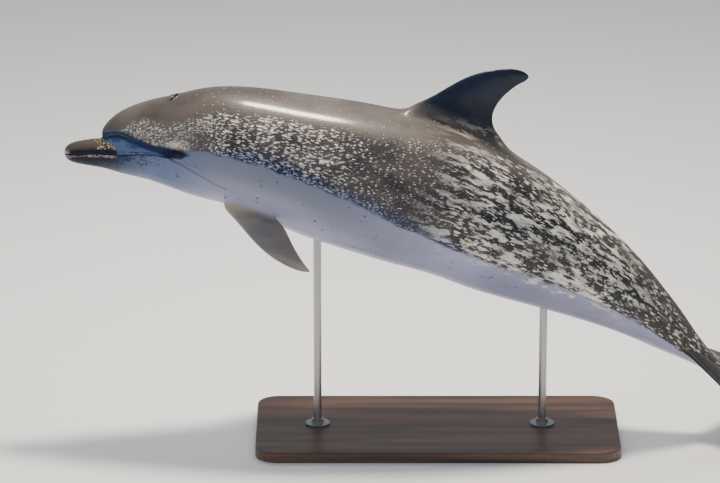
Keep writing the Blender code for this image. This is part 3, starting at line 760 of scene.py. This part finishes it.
def band(value, low, high, start=0.0, end=1.0):
    """Turns a value smoothly from start to end between low and high."""
    limits = {"Value": value, "From Min": low, "From Max": high, "To Min": start, "To Max": end}
    made = add(value.id_data, "ShaderNodeMapRange", limits, interpolation_type="SMOOTHSTEP")
    return made.outputs["Result"]


def blend(share, first, second):
    """The first colour, and this share of the second over it."""
    inputs = {0: share, 6: first, 7: second}
    return add(share.id_data, "ShaderNodeMix", inputs, data_type="RGBA").outputs[2]


def kept(tree, name):
    """One number kept on a mesh."""
    return add(tree, "ShaderNodeAttribute", attribute_name=name).outputs["Fac"]


def parts_of(tree, name):
    """A vector kept on the hide, and its three parts."""
    whole = add(tree, "ShaderNodeAttribute", attribute_name=name).outputs["Vector"]
    return whole, *add(tree, "ShaderNodeSeparateXYZ", {"Vector": whole}).outputs


def stretched(vector, *scale):
    inputs = {0: vector, 1: scale}
    return add(vector.id_data, "ShaderNodeVectorMath", inputs, operation="MULTIPLY").outputs[0]


def cloud(vector, scale, detail=2.0, rough=0.5):
    inputs = {"Vector": vector, "Scale": scale, "Detail": detail, "Roughness": rough}
    return add(vector.id_data, "ShaderNodeTexNoise", inputs).outputs["Fac"]


def shifted(vector, scale, amount):
    """The same vector with every spot shifted a little, so that what it draws is less even."""
    tree = vector.id_data
    shift = add(tree, "ShaderNodeTexNoise", {"Vector": vector, "Scale": scale, "Detail": 2.0})
    inputs = {0: shift.outputs["Color"], 1: (0.5, 0.5, 0.5)}
    shift = add(tree, "ShaderNodeVectorMath", inputs, operation="SUBTRACT")
    shift = add(tree, "ShaderNodeVectorMath", {0: shift.outputs[0], "Scale": amount}, operation="SCALE")
    return add(tree, "ShaderNodeVectorMath", {0: vector, 1: shift.outputs[0]}, operation="ADD").outputs[0]


skin, tree, shader = new_finish("skin")
lie_vector, place, _, _ = parts_of(tree, "lie")
_, flank, cape, above_sea_reflection = parts_of(tree, "edges")
_, stripe, patch, blowhole_shade = parts_of(tree, "face")
_, mouth, over_mouth, lids = parts_of(tree, "mouth")
_, dorsal, flipper, fluke = parts_of(tree, "fins")
throat_fold_shade = kept(tree, "throat_fold_shade")
brow = kept(tree, "brow")

loose = shifted(shifted(lie_vector, 28.0, 0.012), 150.0, 0.0025)
broad = cloud(stretched(lie_vector, 5.0, 9.0, 9.0), 1.0, 4.0)
streaks = cloud(stretched(loose, 16.0, 62.0, 62.0), 1.0, 4.0, 0.6)
patchy = cloud(stretched(loose, 7.0, 17.0, 17.0), 1.0, 3.0, 0.6)
uneven = both(minus(streaks, 0.5), 0.030)


def roughened(value, amount=1.0):
    """A distance made uneven along the body, so that the edge it draws isn't a clean line."""
    return plus(value, both(uneven, amount))


def flecks(length, width, size, share, seed, ragged=0.5):
    """Flecks this far apart along and across the body: how much of one covers a spot."""
    apart = stretched(loose, 1 / length, 1 / width, 1 / width)
    inputs = {0: apart, 1: (seed, seed, seed)}
    apart = add(tree, "ShaderNodeVectorMath", inputs, operation="ADD").outputs[0]
    inputs = {"Vector": apart, "Scale": 1.0, "Randomness": 0.75}
    cells = add(tree, "ShaderNodeTexVoronoi", inputs, feature="F1")
    own = add(tree, "ShaderNodeSeparateXYZ", {"Vector": cells.outputs["Color"]})
    limit = both(band(own.outputs[0], 0.0, 1.0, 0.72, 1.06), share, size)
    frayed = both(minus(cloud(apart, 1.7, 2.0), 0.5), ragged)
    inside = minus(plus(limit, frayed), cells.outputs["Distance"])
    faint = band(own.outputs[1], 0.0, 0.8, 0.55, 1.0)
    return both(band(inside, -0.03, 0.13), band(share, 0.02, 0.12), faint)


# Ground: grey on the cape with a brown tint of painted sunlight, dark slate on the flank, a navy band
# of painted sea reflection along its lower edge, and pale grey below, with lavender and blue-grey
# under the throat as painted sea reflection.
flank_edge = roughened(flank)
dark_above = band(flank_edge, -0.004, 0.006)
cape_edge = roughened(cape, 1.3)
on_cape = band(cape_edge, -0.022, 0.006)
flank_colour = blend(band(patchy, 0.35, 0.65), chip(54, 51, 54), chip(84, 78, 76))
flank_colour = blend(band(place, 0.46, 0.28), flank_colour, chip(90, 85, 83))
# The cape's brown tint is painted sunlight over its grey.
sunlit_cape_colour = blend(band(broad, 0.35, 0.65), chip(64, 58, 56), chip(88, 81, 77))
upper = blend(on_cape, flank_colour, sunlit_cape_colour)
rear_colour = blend(band(patchy, 0.38, 0.62), chip(32, 33, 40), chip(58, 55, 55))
# Towards the top of the rear the brown is painted sunlight.
rear_colour = blend(band(cape, -0.10, -0.01), rear_colour, chip(80, 74, 70))
upper = blend(band(place, 0.85, 1.15), upper, rear_colour)
# The navy band along the lower flank is painted reflection of the sea.
sea_reflection_length = both(band(place, 0.34, 0.46), band(place, 1.35, 1.10))
in_sea_reflection = both(band(roughened(above_sea_reflection), 0.022, -0.014), sea_reflection_length)
upper = blend(in_sea_reflection, upper, chip(26, 34, 66))
# The pale on the brow is a painted highlight on its swelling.
upper = blend(both(brow, 0.85), upper, chip(176, 166, 152))
# The belly is pale grey; its lavender and the blue-grey under the throat are painted sea reflection.
sea_tinted_belly = blend(band(flank, -0.03, -0.13), chip(108, 115, 134), chip(164, 166, 190))
sea_tinted_belly = blend(band(place, 0.70, 1.10), sea_tinted_belly, chip(160, 160, 190))
sea_tinted_belly = blend(band(broad, 0.3, 0.7, 0.0, 0.5), sea_tinted_belly, chip(112, 116, 140))
sea_tinted_belly = blend(band(place, 0.44, 0.26), sea_tinted_belly, chip(86, 101, 138))
ground = blend(dark_above, sea_tinted_belly, upper)

# Pale flecks on the dark, thickest along the middle of the flank and finer on the head. Behind the
# dorsal fin they run together into streaks and blotches.
off_cape = band(cape_edge, 0.004, -0.016)
fleck_zone = both(dark_above, off_cape, band(patchy, 0.30, 0.60, 0.84, 1.04))
thinning = both(band(place, 0.66, 0.88, 1.0, 0.56), band(place, 0.92, 1.20, 1.0, 0.40))
large_zone = both(fleck_zone, thinning, band(place, 0.34, 0.44))
large = flecks(0.0158, 0.0050, 0.51, large_zone, 0.0, 0.35)
behind_eye = both(band(place, 0.33, 0.37), band(place, 0.43, 0.38))
behind_eye = both(behind_eye, band(flank, 0.06, 0.03))
near_head = band(place, 0.36, 0.50, 1.0, 0.40)
near_head = both(near_head, band(behind_eye, 0.0, 1.0, 1.0, 0.55))
small_zone = both(fleck_zone, either(near_head, both(in_sea_reflection, 0.95)))
small = flecks(0.0098, 0.0038, 0.54, small_zone, 7.3, 0.4)
small = both(small, band(place, 1.10, 0.85), band(place, 0.30, 0.44, 0.72, 0.95))
trails = flecks(0.0300, 0.0062, 0.42, both(fleck_zone, band(place, 0.90, 1.10)), 9.1)
# Sparse white dots over the dark skin behind the head are painted glints of water droplets.
droplet_glints = flecks(0.0120, 0.0095, 0.17, both(dark_above, band(place, 0.22, 0.40)), 3.1, 0.1)
gathered = cloud(stretched(lie_vector, 4.5, 9.0, 9.0), 1.0, 3.0)
middle = both(band(cape, -0.02, -0.08), band(flank, 0.0, 0.06), 0.12)
gathered = band(plus(gathered, middle), 0.42, 0.58)
blotches = band(cloud(stretched(loose, 15.0, 70.0, 70.0), 1.0, 5.0, 0.62), 0.49, 0.58)
blotches = both(
    blotches, gathered, band(flank_edge, -0.035, 0.0),
    band(place, 0.92, 1.15), band(place, 1.84, 1.62),
)
pale = either(large, both(small, 0.8), both(droplet_glints, 0.9), both(trails, 0.9))
pale = either(pale, blotches)
pale_colour = blend(band(streaks, 0.35, 0.65), chip(196, 191, 184), chip(248, 244, 236))
# Flecks in that band are tinted blue, as painted reflection of the sea.
pale_colour = blend(both(in_sea_reflection, 0.8), pale_colour, chip(134, 146, 172))
coloured = blend(both(pale, 0.9), ground, pale_colour)

# Dark spots on the pale belly.
below = band(flank_edge, 0.0, -0.012)
spots_zone = both(below, band(patchy, 0.40, 0.60, 0.4, 1.1))
dark_spots = flecks(0.024, 0.015, 0.21, spots_zone, 11.7, 0.15)
coloured = blend(both(dark_spots, 0.8), coloured, chip(28, 36, 60))

# The beak: brown above with painted golden glints at its base and near black along its lip. Its
# foremost point and the lip of the jaw are rosy, and the jaw below them is near black with a blue
# tint of painted sea reflection and darker dashes.
over_beak = sum_of("MAXIMUM", minus(over_mouth, 0.018), 0.0)
along_beak = plus(roughened(place, 0.4), both(over_beak, 1.8))
on_beak = band(along_beak, 0.153, 0.144)
above_lip = band(over_mouth, -0.0005, 0.0015)
beak_colour = blend(band(broad, 0.3, 0.7), chip(46, 42, 40), chip(74, 66, 58))
lip_dark = band(roughened(over_mouth, 0.6), 0.020, 0.007)
beak_colour = blend(lip_dark, beak_colour, chip(6, 17, 38))
coloured = blend(both(on_beak, above_lip), coloured, beak_colour)
# These golden flecks at the beak's base are painted glints.
beak_base = both(on_beak, band(place, 0.070, 0.105), band(over_mouth, 0.008, 0.016))
beak_glints = flecks(0.0092, 0.0042, 0.52, beak_base, 21.0, 0.5)
coloured = blend(both(beak_glints, 0.85), coloured, chip(214, 196, 160))
under_lip = band(over_mouth, 0.0005, -0.0015)
jaw = both(band(roughened(place, 2.0), 0.250, 0.100), under_lip)
# The jaw's blue is painted sea reflection over its near black.
jaw_colour = blend(band(streaks, 0.40, 0.62), chip(1, 7, 24), chip(10, 28, 60))
coloured = blend(both(jaw, 0.97), coloured, jaw_colour)
rosy = both(
    band(roughened(over_mouth, 0.3), -0.0120, -0.0080), band(over_mouth, 0.0006, -0.0004),
    band(place, 0.165, 0.120), band(streaks, 0.40, 0.52, 0.25, 0.75),
)
foremost = both(band(place, 0.022, 0.006), band(streaks, 0.38, 0.48))
foremost = both(foremost, band(sum_of("ABSOLUTE", over_mouth), 0.016, 0.006))
coloured = blend(either(foremost, rosy), coloured, chip(160, 140, 134))
jaw_zone = both(jaw, band(over_mouth, -0.045, -0.012))
jaw_dashes = both(flecks(0.0120, 0.0055, 0.56, jaw_zone, 27.0, 0.6), band(place, 0.016, 0.030))
coloured = blend(both(jaw_dashes, 0.9), coloured, chip(4, 9, 22))
# The mouth's crease is painted dark, as painted shade in it.
mouth_crease_shade = both(band(mouth, 0.0024, 0.0008), band(place, 0.12, 0.17, 1.0, 0.7))
coloured = blend(mouth_crease_shade, coloured, chip(10, 14, 26))

# The cheek is grey with a blue tint of painted sea reflection, with dark dashes along the mouth.
# Over it run the stripe from the melon's edge to the eye, partly the marking and partly painted shade
# under the melon's overhang, its wisps, the dark patch about the eye and the dark rims of the lids.
# The blowhole's crescent and the throat's fold are painted dark, as painted shade in these creases.
behind_beak = minus(1.0, on_beak)
cheek = both(below, behind_beak, band(over_mouth, 0.000, 0.004), band(place, 0.34, 0.24))
# The cheek's blue is painted sea reflection.
coloured = blend(both(cheek, 0.8), coloured, chip(72, 98, 134))
near_mouth = both(below, band(over_mouth, -0.075, -0.015), band(place, 0.34, 0.20))
dash_zone = both(near_mouth, band(patchy, 0.37, 0.50))
dashes = flecks(0.0130, 0.0056, 0.60, dash_zone, 15.2, 0.5)
dashes = both(dashes, behind_beak, band(over_mouth, 0.013, 0.005), 0.85)
coloured = blend(dashes, coloured, chip(20, 32, 60))
stripe_edge = roughened(stripe, 0.5)
wisps = both(band(stripe_edge, 0.024, 0.004), cheek, band(streaks, 0.42, 0.56))
coloured = blend(both(wisps, 0.8), coloured, chip(22, 40, 72))
# The stripe is partly the marking and partly painted shade under the melon's overhang.
coloured = blend(band(stripe_edge, 0.006, -0.003), coloured, chip(12, 34, 68))
patch_edge = roughened(patch, 0.4)
coloured = blend(band(patch_edge, 0.005, -0.004), coloured, chip(2, 13, 42))
coloured = blend(band(lids, 1.7, 1.15), coloured, chip(4, 8, 18))
# The blowhole's crescent is painted dark, as painted shade in its slit.
coloured = blend(band(blowhole_shade, 0.0070, 0.0030), coloured, chip(8, 8, 9))
# The throat's fold is painted darker, as painted shade in the crease.
coloured = blend(both(band(throat_fold_shade, 0.006, 0.001), 0.35), coloured, chip(50, 58, 84))

# The dorsal fin is near black with a blue tint of painted sea reflection, the flippers grey with a
# brown tint of painted sunlight, and the flukes charcoal.
# The dorsal fin's blue is painted sea reflection.
fin_tone = blend(band(patchy, 0.35, 0.65), chip(7, 16, 36), chip(20, 32, 56))
coloured = blend(band(roughened(dorsal, 4.0), 0.04, 0.26), coloured, fin_tone)
# The flippers' brown is painted sunlight over their grey.
flipper_and_sun_tone = blend(band(patchy, 0.30, 0.70), chip(116, 114, 118), chip(148, 135, 124))
coloured = blend(band(flipper, 0.04, 0.16), coloured, flipper_and_sun_tone)
fluke_tone = blend(streaks, chip(20, 22, 32), chip(50, 47, 47))
coloured = blend(band(fluke, 0.02, 0.20), coloured, fluke_tone)
tree.links.new(coloured, shader.inputs["Base Color"])

# Fine ripples in the blubber, and the film of water: thick above, thin below and on the dark face.
ripple = cloud(stretched(lie_vector, 70.0, 170.0, 170.0), 1.0, 4.0, 0.6)
grain = cloud(lie_vector, 900.0, 2.0)
relief = plus(ripple, both(grain, 0.15))
bump = add(tree, "ShaderNodeBump", {"Height": relief, "Strength": 0.45, "Distance": 0.0016})
tree.links.new(bump.outputs["Normal"], shader.inputs["Normal"])
tree.links.new(band(pale, 0.0, 1.0, 0.42, 0.52), shader.inputs["Roughness"])
thin_film = either(
    band(flank, -0.04, -0.14), both(jaw, 0.9),
    both(band(patch_edge, 0.008, 0.0), 0.9), both(band(fluke, 0.10, 0.40), 0.85),
)
tree.links.new(band(thin_film, 0.0, 1.0, 0.75, 0.06), shader.inputs["Coat Weight"])
shader.inputs["Specular IOR Level"].default_value = 0.20
shader.inputs["Coat Roughness"].default_value = 0.14
shader.inputs["Coat IOR"].default_value = 1.33
shader.inputs["Subsurface Weight"].default_value = 0.04
shader.inputs["Subsurface Radius"].default_value = (0.010, 0.006, 0.005)
shader.inputs["Subsurface Scale"].default_value = 0.4

hide.materials.clear()
hide.materials.append(skin)
animal = bpy.data.objects.new("dolphin_skin", hide)
bpy.context.scene.collection.objects.link(animal)
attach(animal, "root")
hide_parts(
    "upper_beak", "lower_jaw", "head", "chest", "trunk", "loin", "tail_stock",
    "dorsal_fin", "flipper_left", "flipper_right", "fluke_left", "fluke_right",
)


# ---- the eyes ----
# Each eye is a dark ball of glass, 28 mm across: a black pupil, a deep brown iris with fine threads,
# and a darker rim, under a clear front. It is set in the head, so that only an almond of it shows.

EYE_FIT = 0.995  # the ball's share of its socket's size
eye_finish, tree, shader = new_finish("eye")
gaze = kept(tree, "gaze")  # the angle from the middle of the pupil, in radians
iris = blend(band(gaze, 0.20, 0.30), chip(3, 3, 5), chip(34, 22, 15))
ball_colour = blend(band(gaze, 0.38, 0.78), iris, chip(12, 11, 14))
threads = both(cloud(add(tree, "ShaderNodeTexCoord").outputs["Object"], 700.0), 0.3)
tree.links.new(blend(threads, ball_colour, chip(10, 8, 8)), shader.inputs["Base Color"])
shader.inputs["Roughness"].default_value = 0.30
shader.inputs["Specular IOR Level"].default_value = 0.1
shader.inputs["Coat Weight"].default_value = 0.6
shader.inputs["Coat Roughness"].default_value = 0.04
shader.inputs["Coat IOR"].default_value = 1.36

for side, (centre, radius, outward, _, _) in eyes.items():
    ball = bmesh.new()
    bmesh.ops.create_uvsphere(ball, u_segments=48, v_segments=24, radius=radius * EYE_FIT)
    mesh = bpy.data.meshes.new(f"eyeball_{side}")
    ball.to_mesh(mesh)
    ball.free()
    mesh.shade_smooth()
    directions = read(mesh, "co")
    directions /= np.linalg.norm(directions, axis=1)[:, None]
    write(mesh, "gaze", np.arccos(np.clip(directions @ outward, -1, 1)))
    mesh.materials.append(eye_finish)
    eyeball = bpy.data.objects.new(f"eyeball_{side}", mesh)
    eyeball.location = centre
    bpy.context.scene.collection.objects.link(eyeball)
    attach(eyeball, "root")
    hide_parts(f"eye_{side}")


# ---- the stand's base ----
# A heavy board of dark stained hardwood, sawn with round corners and eased edges. Its grain runs
# along it under satin lacquer, and the two rods are let into it.

wood, tree, shader = new_finish("wood")
where = add(tree, "ShaderNodeTexCoord").outputs["Object"]
rings = cloud(stretched(where, 1.6, 26.0, 26.0), 1.0, 5.0, 0.6)
pores = cloud(stretched(where, 30.0, 900.0, 900.0), 1.0)
stain = blend(band(rings, 0.35, 0.65), chip(46, 30, 22), chip(86, 58, 40))
stain = blend(band(pores, 0.58, 0.66, 0.0, 0.5), stain, chip(26, 17, 13))
tree.links.new(stain, shader.inputs["Base Color"])
wood_bump = add(tree, "ShaderNodeBump", {"Height": pores, "Strength": 0.15, "Distance": 0.0004})
tree.links.new(wood_bump.outputs["Normal"], shader.inputs["Normal"])
shader.inputs["Roughness"].default_value = 0.42
shader.inputs["Coat Weight"].default_value = 0.3
shader.inputs["Coat Roughness"].default_value = 0.25
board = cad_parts["stand_base"]
board.data.materials.clear()
board.data.materials.append(wood)


# ---- the rods and collars ----
# Two rods of steel, brushed round and round, stand in turned collars on the board. They run up into
# bores in the body, and are fixed there.

steel, tree, shader = new_finish("steel")
where = add(tree, "ShaderNodeTexCoord").outputs["Object"]
brushing = cloud(stretched(where, 1500.0, 1500.0, 12.0), 1.0)
tree.links.new(blend(brushing, chip(150, 150, 152), chip(190, 190, 192)), shader.inputs["Base Color"])
tree.links.new(band(brushing, 0.2, 0.8, 0.24, 0.40), shader.inputs["Roughness"])
shader.inputs["Metallic"].default_value = 1.0
for name in ("stand_rod_front", "stand_rod_rear", "stand_collar_front", "stand_collar_rear"):
    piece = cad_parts[name]
    piece.data.materials.clear()
    piece.data.materials.append(steel)


# ---- the room ----
# A plain studio with a pale matt floor, too wide for its edge to show near the animal. A warm key
# light hangs over the back, with a broad cool one behind it and a weaker one at the side.

FLOOR = 40.0
mesh = bpy.data.meshes.new("floor")
half = FLOOR / 2
corners = [(-half, -half, 0), (half, -half, 0), (half, half, 0), (-half, half, 0)]
mesh.from_pydata(corners, [], [(0, 1, 2, 3)])
pale_floor, tree, shader = new_finish("floor")
shader.inputs["Base Color"].default_value = chip(236, 236, 234)
shader.inputs["Roughness"].default_value = 0.9
mesh.materials.append(pale_floor)
floor = bpy.data.objects.new("floor", mesh)
bpy.context.scene.collection.objects.link(floor)

world = bpy.data.worlds.new("studio")
bpy.context.scene.world = world
world.use_nodes = True
background = world.node_tree.nodes["Background"]
background.inputs["Color"].default_value = chip(214, 220, 228)
background.inputs["Strength"].default_value = 0.55


def soft_light(name, place, towards, size, watts, colour, mirrored=True):
    """A rectangular light: its first side runs as level along X as its aim allows."""
    light = bpy.data.lights.new(name, "AREA")
    light.shape = "RECTANGLE"
    light.size, light.size_y = size
    light.energy = watts
    light.color = colour
    lamp = bpy.data.objects.new(name, light)
    back = np.array(place) - np.array(towards)
    back /= np.linalg.norm(back)
    along = np.array([1.0, 0.0, 0.0]) - back * back[0]
    along /= np.linalg.norm(along)
    lamp.matrix_world = Matrix(np.column_stack([along, np.cross(back, along), back]).tolist()).to_4x4()
    lamp.location = place
    lamp.visible_glossy = mirrored
    bpy.context.scene.collection.objects.link(lamp)


WARM, COOL, SKY = (1.0, 0.90, 0.76), (0.95, 0.98, 1.0), (0.94, 0.96, 1.0)
soft_light("key", (-0.12, 0.42, 3.7), (-0.35, 0.0, 0.8), (0.8, 0.42), 200, WARM)
soft_light("overhead", (-0.2, 2.9, 4.4), (-0.2, 0.0, 0.6), (5.0, 1.2), 120, COOL, mirrored=False)
soft_light("side", (-3.4, -5.2, 1.8), (-0.2, 0.0, 0.5), (1.6, 1.6), 90, SKY, mirrored=False)


# ---- the camera ----
# A long lens on a stand, square to the animal's left side and a little above it. From this far off
# the beak and the tail keep their true sizes.

TARGET = np.array([-0.2133, 0.0, 0.56])
ELEVATION = math.radians(18)
DISTANCE = 12.0
VIEW_WIDTH = 1.9656  # metres across the view at the target
SENSOR = 36.0
camera_data = bpy.data.cameras.new("camera")
camera_data.sensor_width = SENSOR
camera_data.lens = SENSOR * DISTANCE / VIEW_WIDTH
camera_data.clip_end = 100
camera = bpy.data.objects.new("camera", camera_data)
away = np.array([0.0, -math.cos(ELEVATION), math.sin(ELEVATION)])
camera.location = TARGET + away * DISTANCE
camera.rotation_euler = (math.pi / 2 - ELEVATION, 0, 0)
bpy.context.scene.collection.objects.link(camera)
bpy.context.scene.camera = camera
